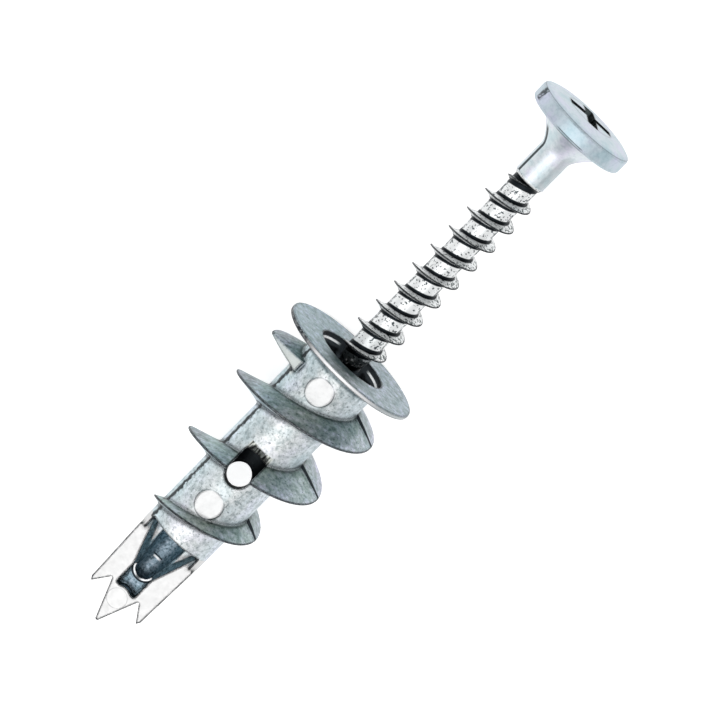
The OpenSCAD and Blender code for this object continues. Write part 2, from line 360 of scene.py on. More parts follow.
# The upper end of the front window slopes in, so the slide of the die draws out of it.
slope = [(-FAR, -SLOPE_TOP), (-3.2, -SLOPE_TOP), (-2.1, -SLOPE_LOW), (0, -SLOPE_LOW), (0, -16), (-FAR, -16)]
cuts.append(combine(window(FRONT_TOP, -9, 0), [side_plate("slope", slope, -FAR, FAR)], "INTERSECT"))
cuts.append(window(BACK_TOP, 0, 9))
print("Each window is", 2 * WINDOW_R, "by", WINDOW_L, "mm")
print("The back window is", round(BACK_TOP - FRONT_TOP, 1), "mm lower than the front one")

# %% Trough and channel in the blade
TROUGH_TOP, TROUGH_LOW, CHANNEL_END = 21.1, 25.4, 27.6
TROUGH_TOP_R, TROUGH_LOW_R = 2.5, 1.03
LEDGE, CHANNEL_FLOOR, OVERLAP = 0.3, 0.6, 0.01
FRONT_MARK_DEPTH, FRONT_MARK_R = 28.4, 1.0

cone = [(0, -TROUGH_TOP), (TROUGH_TOP_R, -TROUGH_TOP), (TROUGH_LOW_R, -TROUGH_LOW), (0, -TROUGH_LOW)]
trough = lathe("trough", cone, CUT_AROUND)
trough.data.transform(Matrix.Translation((0, -BLADE_FACE, 0)))
combine(trough, [block("ledges", (-5, -10, -26.4), (5, -LEDGE, -18.4))], "INTERSECT")
channel_top = OVERLAP - TROUGH_LOW
channel = block("channel", (-TROUGH_LOW_R, -4.5, -CHANNEL_END), (TROUGH_LOW_R, -CHANNEL_FLOOR, channel_top))
front = block("front", (-TROUGH_TOP_R, -6.25, -22.7), (TROUGH_TOP_R, OVERLAP - BLADE_FACE, -TROUGH_TOP))
combine(core, cuts + [trough, channel, front], "DIFFERENCE")
combine(core, [peg("blade mark", FRONT_MARK_DEPTH, FRONT_MARK_R, -BLADE_FACE, -0.2)], "UNION")
print("Cut casting:", triangles(core), "triangles")

# %% [markdown]
# ## The casting: soft edges
# A casting has no sharp corners, because metal doesn't fill them. A Bevel modifier would struggle with
# the many cuts, so a fine voxel remesh rebuilds the skin, a light smoothing rounds every edge alike,
# and a decimate saves triangles where the surface is flat.

# %% Softened edges
CASTING_TRIANGLES = 180000

weld = core.modifiers.new("weld", "REMESH")
weld.mode = "VOXEL"
weld.voxel_size = 0.075
ease = core.modifiers.new("ease", "SMOOTH")
ease.factor = 0.5
ease.iterations = 2
settle(core)
thin = core.modifiers.new("thin", "DECIMATE")
thin.ratio = min(1.0, CASTING_TRIANGLES / triangles(core))
settle(core)
print("Softened casting:", triangles(core), "triangles")

# %% [markdown]
# ## The screw: body
# A screw of this kind is headed and rolled from wire: a thin core, a short plain shank and a head.
# All of it is round about the axis, so it is one lathe profile. The flare under the head, its rounded
# edge and its low dome are arcs and a power curve, because a formula stays smooth at any step.

# %% Screw body
POINT, SHANK, HEAD = -3.5, 21.2, 26.5
ROOT, POINT_R, CONE, SHANK_R, HEAD_H = 1.225, 0.12, 4.2, 1.475, 1.95
SCREW_AROUND = 128

tip = [(0, POINT), (POINT_R / 2, POINT), (POINT_R, POINT + 0.04), (ROOT, POINT + CONE)]
neck = [(ROOT, SHANK - 0.3), (1.44, SHANK - 0.04), (SHANK_R, SHANK + 0.04)]
flare = [(SHANK_R + 1.9 * (i / 12) ** 1.5, HEAD - 2.3 * (1 - i / 12)) for i in range(13)]
under_edge = arc(4.35, HEAD + 0.35, 0.34, 0.35, -90, 0, 15)
upper_edge = arc(4.39, HEAD + 1.28, 0.3, 0.3, 0, 75, 15)
dome = arc(0, HEAD + 1.6, 4.3, 0.34, 10, 90, 8)
profile = tip + neck + flare + under_edge + upper_edge + dome + [(0, HEAD + HEAD_H - 0.005)]
screw = lathe("plated_screw", profile, SCREW_AROUND)
print("Screw body:", HEAD - POINT, "mm long under the head,", triangles(screw), "triangles")

# %% [markdown]
# ## The screw: thread and recess
# The thread is pressed up between two dies. It starts low near the point, reaches its full height just
# past the cone, and runs out into the shank. It is swept like the coarse thread, with a sharper section.
# A punch leaves the cross recess in the head, so its wings narrow downward.

# %% Screw thread
PITCH, SCREW_CREST, THREAD_START = 2.18, 2.1, 0.91
ROOT_HALF, CREST_FLAT, SINK = 0.45, 0.06, 0.25
SCREW_STEP = 5.0


def screw_ring(t):
    """One cross-section of the screw thread, as a loop of points."""
    z = POINT + THREAD_START + t / 360 * PITCH
    up = z - POINT
    base = min(ROOT, POINT_R + up * (ROOT - POINT_R) / CONE)
    full = mix(0.2, 1, (up - 3.4) / 2)
    leave = mix(0.05, 1, (SHANK - z) / 2.4)
    crest = base + (SCREW_CREST - ROOT) * full * leave
    half = ROOT_HALF * (0.25 + 0.75 * full) * (0.4 + 0.6 * leave)
    inner = max(0.03, base - SINK * min(1, up / CONE))
    bend = mix(base, crest, 0.35)
    waist = mix(half, CREST_FLAT, 0.62)
    upper = [(inner, half), (bend, waist), (crest - 0.04, CREST_FLAT), (crest, 0.02)]
    lower = [(r, -lift) for r, lift in upper[::-1]]
    return [(*polar(r, math.radians(t)), z + lift) for r, lift in upper + lower]


last_turn = (SHANK - POINT - THREAD_START) / PITCH * 360
ridge = sweep("screw thread", [screw_ring(i * SCREW_STEP) for i in range(int(last_turn / SCREW_STEP) + 1)])
combine(screw, [ridge], "UNION")
print("Screw thread:", round(last_turn / 360, 1), "turns")

# %% Cross recess
RECESS_TURN = 17

head_top = Matrix.Translation((0, 0, HEAD + HEAD_H))
for angle in (RECESS_TURN, RECESS_TURN + 90):
    wing = tapered_wing(top=2.2, low=1.364, depth=1.7, width=1.0, lift=0.3)
    wing.data.transform(head_top @ Matrix.Rotation(math.radians(angle), 4, "Z"))
    combine(screw, [wing], "DIFFERENCE")
print("Screw:", triangles(screw), "triangles")

# %% [markdown]
# ## Both pieces take their places
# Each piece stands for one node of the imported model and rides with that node's body.
# So when the screw slides in or out of the anchor, its finer piece goes with it.

# %% Places and bodies
SHARP_ANGLE = 38

for obj in (core, screw):
    obj.data.transform(lay_down)
    obj.data.polygons.foreach_set("use_smooth", [True] * len(obj.data.polygons))
screw.data.set_sharp_from_angle(angle=math.radians(SHARP_ANGLE))
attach(core, "anchor")
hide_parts("anchor_body")
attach(screw, "screw")
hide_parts("screw")
print("In place:", core.name, "and", screw.name)

# %% [markdown]
# ## Finishes
# A finish could be painted on an unwrapped image, but a network of nodes needs no image and stays sharp
# close up. Each tool below adds a few nodes to the tree that was opened last. The marks on the metal are
# placed by where a point lies on the standing piece, in millimetres, so they stay put when it moves.

# %% Tools for materials: nodes and arithmetic
def material(name):
    """A new material and its shader. The tools work on its node tree from here on."""
    global tree
    made = bpy.data.materials.new(name)
    made.use_nodes = True
    tree = made.node_tree
    return made, tree.nodes["Principled BSDF"]


def add(kind, **values):
    """A new node, with some of its inputs or settings."""
    node = tree.nodes.new(kind)
    for key, value in values.items():
        if key in node.inputs:
            node.inputs[key].default_value = value
        else:
            setattr(node, key, value)
    return node


def put(value, socket):
    """Sets a socket to a number or a colour, or links another node's output to it."""
    if isinstance(value, (float, int)):
        socket.default_value = value
    elif isinstance(value, tuple):
        socket.default_value = (*value, 1)
    else:
        tree.links.new(value, socket)


def maths(operation, one, two=0.0):
    """One step of arithmetic."""
    node = add("ShaderNodeMath", operation=operation)
    put(one, node.inputs[0])
    put(two, node.inputs[1])
    return node.outputs[0]


def distance(across, up):
    """The length of a line that runs so far across and so far up."""
    return maths("SQRT", maths("ADD", maths("MULTIPLY", across, across), maths("MULTIPLY", up, up)))


print("Tools ready: material, add, put, maths and distance")

# %% Tools for materials: shares from 0 to 1
def all_of(*shares):
    """The shares multiplied: 1 only where each of them is 1."""
    total = shares[0]
    for share in shares[1:]:
        total = maths("MULTIPLY", total, share)
    return total


def any_of(*shares):
    """The largest of the shares."""
    total = shares[0]
    for share in shares[1:]:
        total = maths("MAXIMUM", total, share)
    return total


def flip(share):
    """1 where the share is 0, and 0 where it is 1."""
    return maths("SUBTRACT", 1.0, share)


def span(value, a, b, low, high):
    """Low where the value is a, high where it is b, and steady beyond both."""
    node = add("ShaderNodeMapRange")
    for name, setting in zip(("Value", "From Min", "From Max", "To Min", "To Max"), (value, a, b, low, high)):
        put(setting, node.inputs[name])
    return node.outputs["Result"]


def grow(value, start, full):
    """0 where the value is at the start, and 1 where it is full."""
    return span(value, start, full, 0, 1)


def fade(value, full, gone):
    """1 where the value is full, and 0 where it is gone."""
    return span(value, full, gone, 1, 0)


def between(value, low, high, soft=0.04):
    """1 where the value lies between two bounds, else 0, with a short soft edge."""
    return all_of(grow(value, low, low + soft), fade(value, high, high + soft))


print("Tools ready: all_of, any_of, flip, span, grow, fade and between")

# %% Tools for materials: where a point lies
def standing():
    """Each point's place on the standing piece in millimetres: one vector, x, y, z, and out from the axis."""
    spot = add("ShaderNodeMapping", vector_type="TEXTURE")
    spot.inputs["Location"].default_value = flange_centre
    spot.inputs["Rotation"].default_value = turn.to_euler()
    spot.inputs["Scale"].default_value = (MM, MM, MM)
    tree.links.new(add("ShaderNodeTexCoord").outputs["Object"], spot.inputs["Vector"])
    parts = add("ShaderNodeSeparateXYZ")
    tree.links.new(spot.outputs["Vector"], parts.inputs[0])
    x, y, z = parts.outputs
    return spot.outputs["Vector"], x, y, z, distance(x, y)


def toward(direction):
    """How squarely a surface faces a direction: 1 straight at it, 0 side on."""
    node = add("ShaderNodeVectorMath", operation="DOT_PRODUCT")
    tree.links.new(add("ShaderNodeTexCoord").outputs["Normal"], node.inputs[0])
    node.inputs[1].default_value = direction
    return node.outputs["Value"]


def corners(reach, low, high, inside=False, samples=5):
    """1 in corners within the reach and 0 in the open. Inside finds the outer edges instead."""
    node = add("ShaderNodeAmbientOcclusion", samples=samples, inside=inside, Distance=reach)
    return fade(node.outputs["AO"], low, high)


print("The blade side faces", [round(part, 2) for part in blade_side])

# %% Tools for materials: textures, colours and metal
def noise(place, scale, detail=4.0, rough=0.6):
    """An even noise with so many lumps to a millimetre."""
    node = add("ShaderNodeTexNoise", Scale=scale, Detail=detail, Roughness=rough)
    tree.links.new(place, node.inputs["Vector"])
    return node.outputs["Fac"]


def ramp(value, stops):
    """Colours along a value."""
    node = add("ShaderNodeValToRGB")
    line = node.color_ramp
    while len(line.elements) < len(stops):
        line.elements.new(0.5)
    for mark, (at, colour) in zip(line.elements, stops):
        mark.position = at
        mark.color = (*colour, 1)
    tree.links.new(value, node.inputs["Fac"])
    return node.outputs["Color"]


def blend(share, one, two, way="MIX"):
    """One colour where the share is 0, and the second where it is 1."""
    node = add("ShaderNodeMix", data_type="RGBA", blend_type=way)
    put(share, node.inputs["Factor"])
    put(one, [socket for socket in node.inputs if socket.name == "A" and socket.type == "RGBA"][0])
    put(two, [socket for socket in node.inputs if socket.name == "B" and socket.type == "RGBA"][0])
    return [socket for socket in node.outputs if socket.type == "RGBA"][0]


def times(one, two):
    """Two colours multiplied."""
    return blend(1.0, one, two, "MULTIPLY")


def tinted(share, colour, by):
    """The colour, multiplied by a second where the share is 1."""
    return blend(share, colour, times(colour, by))


def metal(obj, finish, shader, colour, rough, height, strength, depth):
    """Wires up a metal finish and puts it on a piece."""
    tree.links.new(colour, shader.inputs["Base Color"])
    tree.links.new(rough, shader.inputs["Roughness"])
    shader.inputs["Metallic"].default_value = 1.0
    skin = add("ShaderNodeBump", Strength=strength, Distance=depth * MM)
    tree.links.new(height, skin.inputs["Height"])
    tree.links.new(skin.outputs["Normal"], shader.inputs["Normal"])
    obj.data.materials.clear()
    obj.data.materials.append(finish)


print("Tools ready: noise, ramp, blend, times, tinted and metal")

# %% [markdown]
# ## Cast zinc: the mottled skin
# Zinc chills at once where it meets the die, so its skin is a pale satin grey with cool patches,
# bright grains and dark specks. Three noises give them, each at its own scale, and each steers a ramp
# of colours. The blade and the flats beside it are one even grey.

# %% Cast zinc: patches, grains and specks
BLADE_GREY, FLAT_GREY = (0.57, 0.57, 0.57), (0.60, 0.60, 0.60)

zinc, shader = material("cast zinc")
place, x, y, z, out = standing()
side = maths("ABSOLUTE", x)
broad = noise(place, scale=0.45, detail=3)
grain = noise(place, scale=2.4, detail=5, rough=0.75)
speck = noise(place, scale=5.0, detail=2, rough=0.5)
mottle = ramp(broad, [(0.35, (0.53, 0.58, 0.59)), (0.5, (0.64, 0.66, 0.66)), (0.66, (0.69, 0.69, 0.73))])
fleck = ramp(grain, [(0.36, (0.52, 0.56, 0.57)), (0.48, (0.90, 0.91, 0.91)), (0.6, (1.16, 1.15, 1.16))])
dots = ramp(speck, [(0.30, (0.30, 0.33, 0.34)), (0.39, (1, 1, 1))])
above_blade = grow(z, 0.1 - CORE_END, 0.4 - CORE_END)
colour = tinted(above_blade, mottle, fleck)
colour = tinted(all_of(above_blade, 0.8), colour, dots)
colour = blend(flip(above_blade), colour, BLADE_GREY)
# Both sides of the core are painted a little darker and bluer than its middle: painted shade on the round
# core.
colour = tinted(all_of(grow(x, -0.6, -2.6), above_blade), colour, (0.85, 0.95, 0.99))
colour = tinted(all_of(grow(x, 0.8, 2.8), above_blade), colour, (0.86, 0.92, 0.96))
shoulder = all_of(between(z, -CORE_END, -21.15), grow(side, 2.5, 2.6), fade(y, -0.5, -0.3))
colour = blend(shoulder, colour, FLAT_GREY)
print("Cast zinc with its mottled skin:", len(tree.nodes), "nodes")

# %% [markdown]
# ## Cast zinc: flanks and flange
# Faces that turn toward the head are painted darker than the core, as painted shade: the flanks greener,
# darkest at the root of the thread, and blotched, and the flange top a cooler grey. How squarely the surface
# faces the head tells a flank from the core, so one value steers the change, and the distance out from the
# axis gives its depth. At its front the flange top carries a painted dark reflection of the screw, and the
# flank behind the die seam is painted a little lighter.

# %% Cast zinc: what faces the head
facing = toward(along)
flange_top = grow(z, -0.5, -0.2)
below_flange = grow(z, -0.6, -0.8)
# Painted shade on faces that turn toward the head: darkest at the root, paler toward the crest.
cast = ramp(grow(out, 3.0, 6.4), [
    (0.0, (0.47, 0.52, 0.46)), (0.35, (0.70, 0.76, 0.71)), (1.0, (0.86, 0.87, 0.88)),
])
# The flange top faces the head too and takes a cooler grey of painted shade.
cast = blend(flange_top, cast, (0.64, 0.69, 0.71))
# A painted dark reflection of the screw on the flange top, in front of the mouth.
screw_reflection = all_of(flange_top, between(y, -5.0, -3.2, 0.5), span(side, 1.0, 3.4, 0.75, 0))
cast = blend(screw_reflection, cast, (0.08, 0.17, 0.17))
cast = times(cast, ramp(noise(place, scale=1.5, rough=0.7), [
    (0.38, (0.64, 0.70, 0.67)), (0.5, (0.97, 0.99, 0.98)), (0.62, (1.28, 1.20, 1.30)),
]))
# The flank behind the die seam is painted a little lighter: painted light on that face.
behind_seam = all_of(grow(x, 2.6, 3.4), grow(y, 0.0, 0.4), below_flange)
cast = tinted(behind_seam, cast, (1.08, 1.02, 1.08))
left_tips = all_of(grow(x, -3.6, -4.6), below_flange, span(grain, 0.46, 0.60, 1, 0.3))
cast = tinted(left_tips, cast, (0.60, 0.56, 0.60))
# The painted shade and its blotches go where a face turns toward the head.
colour = tinted(grow(facing, 0.3, 0.9), colour, cast)
print("Cast zinc with its flanks:", len(tree.nodes), "nodes")

# %% Cast zinc: the rim, the start of the thread, and shade in the corners
# A near black for painted shade in the bore and the mouth, for the painted shadow under the bore's lip, and
# for dark spots on the rim.
BORE_BLACK = (0.02, 0.025, 0.03)

at_rim = grow(out, FLANGE_R - 0.2, FLANGE_R - 0.1)
rim = all_of(grow(z, -0.5, -0.44), grow(facing, 0.6, 0.3), at_rim)
# The rim's front is painted bright in its middle and darker toward the sides: a painted highlight.
rim_colour = blend(fade(side, 3.0, 4.5), (0.42, 0.45, 0.46), (0.66, 0.66, 0.67))
# Dark spots, broken by the grain, on the left of the rim.
left_rim_spots = all_of(grow(x, -2.4, -4.2), span(grain, 0.50, 0.60, 1, 0.4))
colour = blend(rim, colour, blend(left_rim_spots, rim_colour, BORE_BLACK))
# The blunt end where the thread starts is rubbed pale.
start_front = all_of(between(z, -4.2, -2.3), grow(x, -2.6, -2.9), span(y, 0.0, -2.2, 0, 0.9))
start_face = all_of(start_front, grow(facing, 0.35, 0.15), grow(out, 3.3, 3.5))
colour = blend(start_face, colour, (0.63, 0.66, 0.64))
shade = times(colour, (0.20, 0.24, 0.26))
under_flange = all_of(grow(z, -1.6, -1.4), between(out, 3.3, 3.56), grow(z, -0.3, -0.4))
colour = blend(all_of(under_flange, 0.8), colour, shade)
colour = blend(corners(1.2 * MM, 0.2, 0.8, samples=6), colour, shade)
print("Cast zinc with its rim and shade:", len(tree.nodes), "nodes")

# %% [markdown]
# ## Cast zinc: the hollows
# The hollows are painted dark as painted shade: the trough a dark blue-grey with pale patches, lighter toward
# its sides, and the bore and the mouth nearly black. Each skin is kept inside its hollow by a height and a
# distance from the axis. Small painted highlights, on the lip of the bore, deep in it and on the mouth's
# cone, and a painted shadow under the lip show the depth.

# %% Cast zinc: the trough
ledge = all_of(between(y, -LEDGE - 0.08, 0.04 - LEDGE, 0.02), grow(side, 1.3, 1.33))
in_trough = all_of(between(z, -CHANNEL_END - 0.02, 0.1 - TROUGH_TOP), between(y, 0.04 - BLADE_FACE, 1.25))
in_trough = all_of(in_trough, fade(side, TROUGH_TOP_R + 0.05, TROUGH_TOP_R + 0.1), flip(ledge))
# The trough is painted in dark patches: painted shade of the hollow.
patches = ramp(noise(place, scale=3.4, rough=0.8), [
    (0.36, (0.03, 0.05, 0.06)), (0.48, (0.15, 0.22, 0.27)), (0.64, (0.36, 0.43, 0.50)),
])
# Toward its sides the trough is painted lighter: painted light on its walls.
patches = tinted(span(side, 0.4, 1.6, 0, 0.8), patches, (1.7, 1.9, 1.8))
colour = blend(all_of(in_trough, 0.95), colour, patches)
print("Cast zinc with its trough:", len(tree.nodes), "nodes")

# %% Cast zinc: where the bore breaks out into the channel
from_end = distance(x, maths("ADD", z, PIPE_END))
on_floor = between(y, -CHANNEL_FLOOR - 0.12, 0.1 - CHANNEL_FLOOR, 0.03)
on_floor = all_of(on_floor, grow(z, 0.2 - PIPE_END, -PIPE_END))
# A dark line painted round the end of the bore on the channel floor: a painted shadow under the lip.
line = between(from_end, PIPE_R - 0.01, PIPE_R + 0.15, 0.03)
colour = blend(all_of(on_floor, line), colour, BORE_BLACK)
# A painted highlight on the lip of the bore; it goes on last, below.
lip = between(from_end, PIPE_R - 0.25, PIPE_R - 0.03, 0.03)
lip = all_of(on_floor, lip, span(side, 0.1, 0.45, 0.1, 1))
pipe_back = between(y, 0.8, 1.26)
glint = all_of(between(z, -24.5, -24.34), fade(side, 0.3, 0.42), pipe_back)
colour = blend(glint, colour, (0.70, 0.71, 0.72))
glint_shade = all_of(between(z, -24.30, -24.18), fade(side, 0.4, 0.5), pipe_back)
colour = blend(glint_shade, colour, (0.01, 0.015, 0.02))
print("Cast zinc with the end of its bore:", len(tree.nodes), "nodes")

# %% Cast zinc: the bore and the mouth
# The bore, the mouth and the foot of its cone are painted nearly black: painted shade.
in_bore = all_of(between(z, -21.2, -0.76), fade(out, 2.96, 3.02))
in_mouth = all_of(between(z, -0.46, -0.06), between(out, 2.9, MOUTH_R + 0.05))
near_wall = between(out, 2.7, MOUTH_R + 0.05)
cone_front = all_of(between(z, -1.12, -0.42), near_wall, fade(side, 1.5, 1.9))
cone_foot = all_of(between(z, -1.2, -0.62), between(out, 2.6, 3.2))
colour = blend(all_of(any_of(in_bore, in_mouth, cone_front, cone_foot), 0.97), colour, BORE_BLACK)
# A painted highlight on the mouth's cone, to the left and the right.
cone_band = all_of(between(z, -0.62, -0.46, 0.03), near_wall, grow(side, 1.6, 2.0), grow(y, -0.8, -0.3))
colour = blend(cone_band, colour, (0.80, 0.82, 0.83))
print("Cast zinc with its bore and mouth:", len(tree.nodes), "nodes")

# %% [markdown]
# ## Cast zinc: what the die left, and a streak
# The slide that drew out of the front window scored its sloped end. The ejector pins pressed smooth flats,
# each inside a fine dark ring. A dark line is painted along the step where the die halves met, as painted
# shade of the step. A dark streak also runs down the core. All are placed by height, angle and distance, and
# the grain breaks up rings and streak.

# %% Cast zinc: the scored end of the front window
ACROSS_SCORES, ALONG_SCORES = 3.0, 0.35

stretched = add("ShaderNodeCombineXYZ")
tree.links.new(maths("MULTIPLY", x, ACROSS_SCORES), stretched.inputs[0])
tree.links.new(maths("MULTIPLY", z, ALONG_SCORES), stretched.inputs[2])
scores = noise(stretched.outputs[0], scale=1.6, detail=3)
scores = ramp(scores, [(0.44, (0.02, 0.025, 0.02)), (0.54, (0.62, 0.64, 0.60))])
sloped_end = all_of(between(z, -SLOPE_LOW - 0.06, -SLOPE_TOP - 0.05), between(y, -3.1, -2.0))
sloped_end = all_of(sloped_end, fade(side, WINDOW_R + 0.04, WINDOW_R + 0.1))
colour = blend(sloped_end, colour, scores)
print("Each score is", round(ACROSS_SCORES / ALONG_SCORES, 1), "times as long as it is wide")

# %% Cast zinc: pin marks
CORE_RING, BLADE_RING = 0.7, 0.35
# Depth and radius of each mark, and the strength of its ring. The last one lies on the blade.
PIN_MARKS = [(depth, radius, CORE_RING) for depth, radius, front in PADS] + [(28.6, 0.88, BLADE_RING)]

in_front = fade(y, -1.2, -1.0)
rings = []
for depth, radius, strength in PIN_MARKS:
    down = maths("ADD", z, depth)
    reach = maths("DIVIDE", distance(x, down), radius)
    colour = blend(all_of(fade(reach, 0.94, 0.98), in_front, 0.9), colour, FLAT_GREY)
    ring = all_of(between(reach, 0.96, 1.03, 0.03), in_front, span(grain, 0.40, 0.50, 0.3, 1))
    rings.append(all_of(ring, span(down, 0.2, 1.1, 1, 0.35), strength))
for ring in rings:
    colour = blend(ring, colour, (0.05, 0.055, 0.06))
print("Pin marks:", len(rings))

# %% Cast zinc: the streak and the die seam
ragged = maths("ADD", maths("ARCTAN2", y, x), span(grain, 0.3, 0.7, -0.09, 0.09))
on_left = between(ragged, math.radians(-157), math.radians(-147.5), 0.03)
streak = all_of(on_left, fade(out, CORE_TOP_R + 0.05, CORE_TOP_R + 0.1), between(z, -21.4, -0.75))
colour = blend(all_of(streak, 0.96), colour, (0.012, 0.018, 0.02))
# A dark line painted along the step where the die halves meet: painted shade of the step.
seam = all_of(between(y, -0.11, 0.14), grow(x, 3.1, 3.2), grow(facing, 0.2, 0.4), below_flange)
colour = blend(all_of(seam, 0.95), colour, (0.015, 0.02, 0.025))
print("Cast zinc with its streak and seam:", len(tree.nodes), "nodes")

# %% [markdown]
# ## Cast zinc: corners, edges and grain
# Corners are painted with a dark line of shade, and outer edges with a thinner one: painted shade. Drawing
# them by hand would take a texture for every edge. Ambient occlusion over a very short reach finds them all:
# outside the metal it finds the corners, and inside it the edges. The same grain then roughens and dents the
# surface.

# %% Cast zinc: lines, roughness and bump
# The black of painted shade lines in corners, along outer edges and in the screw's valleys.
LINE_BLACK = (0.012, 0.015, 0.018)

rim_face = all_of(between(z, -0.34, -0.14, 0.03), at_rim, grow(x, -4.6, -3.0))
edge_lines = all_of(corners(0.2 * MM, 0.80, 0.93, inside=True), flip(rim_face))
# Painted shade: a dark line in corners and a thinner one along outer edges, broken by the grain.
lines = any_of(corners(0.45 * MM, 0.93, 0.99), edge_lines)
colour = blend(all_of(lines, span(grain, 0.36, 0.46, 0.55, 1), 0.97), colour, LINE_BLACK)
# The lip's painted highlight goes on last.
colour = blend(lip, colour, (0.72, 0.73, 0.74))
rough = span(grain, 0.3, 0.7, 0.36, 0.54)
metal(core, zinc, shader, colour, rough, blend(0.4, grain, speck), strength=0.55, depth=0.06)
print("Cast zinc:", len(tree.nodes), "nodes in all")

# %% [markdown]
# ## Plated steel: the skin
# The screw is rolled bright and then zinc plated, so it is smoother than the casting and slightly blue.
# The shank and the flare under the head are painted brightest, as a painted highlight. The rolled thread is a
# plain grey, peppered with dark pits, and a few more specks darken the thread's tips on the right.

# %% Plated steel: tint and pits
plated, shader = material("plated steel")
place, x, y, z, out = standing()
side = maths("ABSOLUTE", x)
around = maths("ARCTAN2", y, x)
grain = noise(place, scale=3.0)
speck = noise(place, scale=4.5, detail=3)
below_shank = fade(z, SHANK, SHANK + 0.2)
tint = ramp(noise(place, scale=0.5, detail=3), [
    (0.35, (0.44, 0.55, 0.59)), (0.5, (0.53, 0.60, 0.64)), (0.66, (0.56, 0.58, 0.68)),
])
tint = times(tint, ramp(grain, [(0.35, (0.84, 0.86, 0.88)), (0.55, (1, 1, 1))]))
head_rim = all_of(grow(z, HEAD, HEAD + 0.3), grow(out, 4.2, 4.35))
tint = tinted(head_rim, tint, (0.90, 0.92, 0.94))
# The shank and the flare are painted brighter: a painted highlight.
shank_highlight = all_of(grow(z, SHANK + 0.1, SHANK + 0.3), fade(z, HEAD - 0.1, HEAD))
tint = tinted(shank_highlight, tint, (1.22, 1.16, 1.13))
pits = ramp(speck, [(0.39, (0.03, 0.04, 0.045)), (0.43, (1, 1, 1))])
tint = blend(all_of(below_shank, 0.92), tint, times((0.78, 0.79, 0.79), pits))
tip_specks = all_of(grow(x, 0.7, 1.2), grow(out, 1.45, 1.6), below_shank, span(speck, 0.45, 0.50, 0.9, 0))
tint = blend(tip_specks, tint, (0.05, 0.07, 0.07))
print("Plated steel with its tint and pits:", len(tree.nodes), "nodes")

# %% [markdown]
# ## Plated steel: lines and marks
# The recess and the valley on each side of the thread are painted dark as painted shade, and the point as a
# painted shadow of the mouth. The dark patch and lines on the head and the darker right side of the shank are
# painted shade too, and dark streaks run down the shank and both sides of the core. The valley follows the
# thread: a point's height in pitches, less its share of a turn, says how far it is from the crest. The
# streaks are placed by angle and height.

# %% Plated steel: the valleys, the recess and the point
# The extra half centres each crest, and the whole turns keep the value above 0.
CENTRE = 20.5

in_pitches = maths("DIVIDE", maths("SUBTRACT", z, POINT + THREAD_START), PITCH)
in_turns = maths("DIVIDE", around, 2 * math.pi)
lap = maths("FRACT", maths("ADD", maths("SUBTRACT", in_pitches, in_turns), CENTRE))
from_crest = maths("MULTIPLY", maths("ABSOLUTE", maths("SUBTRACT", lap, 0.5)), PITCH)
# The valley on each side of the thread is painted dark: painted shade.
valley = all_of(fade(from_crest, 0.53, 0.58), fade(out, 1.36, 1.44), below_shank)
tint = blend(valley, tint, LINE_BLACK)
# The recess is painted nearly black: painted shade.
in_recess = all_of(between(z, HEAD + 0.2, HEAD + 1.86), fade(out, 2.3, 2.4))
tint = blend(all_of(in_recess, 0.93), tint, (0.04, 0.05, 0.05))
# The point is painted dark, broken by the grain: a painted shadow of the mouth it sits in.
at_point = all_of(span(z, 1.15, 0.75, 0, 0.95), span(grain, 0.56, 0.64, 1, 0.3))
tint = tinted(at_point, tint, (0.06, 0.075, 0.08))
print("Plated steel with its valleys:", len(tree.nodes), "nodes")

# %% Plated steel: streaks
MARK_BLACK = (0.02, 0.03, 0.035)


def sector(first, last, soft):
    """1 between two angles about the axis, in degrees."""
    return between(around, math.radians(first), math.radians(last), soft)


# Painted shade: a dark patch at the left of the head's rim, lines along its lower edge and where the dome
# meets it, and the right side of the shank. A streak runs down the shank, and dark marks lie on both sides of
# the core.
shank_streak = all_of(sector(-153, -140, 0.03), between(z, SHANK + 0.1, HEAD - 0.7), fade(out, 2.3, 2.6))
rim_streak = all_of(sector(-158, -147, 0.03), between(z, HEAD + 0.35, HEAD + 1.5), grow(out, 4.3, 4.5))
rim_streak = all_of(rim_streak, span(speck, 0.42, 0.50, 0.3, 1))
two_lines = any_of(between(z, HEAD + 0.20, HEAD + 0.27), between(z, HEAD, HEAD + 0.05))
rim_lines = all_of(two_lines, fade(side, 1.2, 1.5), fade(y, -3.5, -3.4))
brow_line = all_of(between(z, HEAD + 1.46, HEAD + 1.50), grow(out, 4.4, 4.5))
core_sides = all_of(any_of(sector(-168, -149, 0.05), sector(-28, -12, 0.05)), fade(out, 1.3, 1.36))
core_sides = all_of(core_sides, below_shank, span(grain, 0.46, 0.54, 0.1, 1))
shank_side = all_of(sector(-62, -20, 0.15), grow(z, SHANK + 0.1, SHANK + 0.2))
shank_side = all_of(shank_side, fade(z, HEAD - 1.7, HEAD - 1.1))
marks = [
    (shank_streak, 0.95), (rim_streak, 0.93), (rim_lines, 0.8), (brow_line, 0.5),
    (core_sides, 0.8), (shank_side, 0.25),
]
for mark, strength in marks:
    tint = blend(all_of(mark, strength), tint, MARK_BLACK)
# Four of these marks are painted shade.
print("Plated steel:", len(marks), "marks from painted_shade_and_streaks")

# %% Plated steel: corners, edges, roughness and bump
# Painted shade: corners are painted darker, and outer edges get a dark line.
tint = tinted(corners(0.6 * MM, 0.3, 0.8, samples=6), tint, (0.22, 0.25, 0.28))
edge_lines = corners(0.15 * MM, 0.80, 0.93, inside=True)
tint = blend(all_of(edge_lines, 0.95), tint, LINE_BLACK)
rough = span(grain, 0.3, 0.7, 0.36, 0.5)
metal(screw, plated, shader, tint, rough, grain, strength=0.4, depth=0.05)
print("Plated steel:", len(tree.nodes), "nodes in all")

# %% [markdown]
# ## Floor and world
# Small hardware is often shown on a white ground that keeps a soft shadow.
# A floor lit up to full white would put too much light on the metal. So the floor glows, and the world
# turns brighter, only for rays from the camera, off metal or through glass.

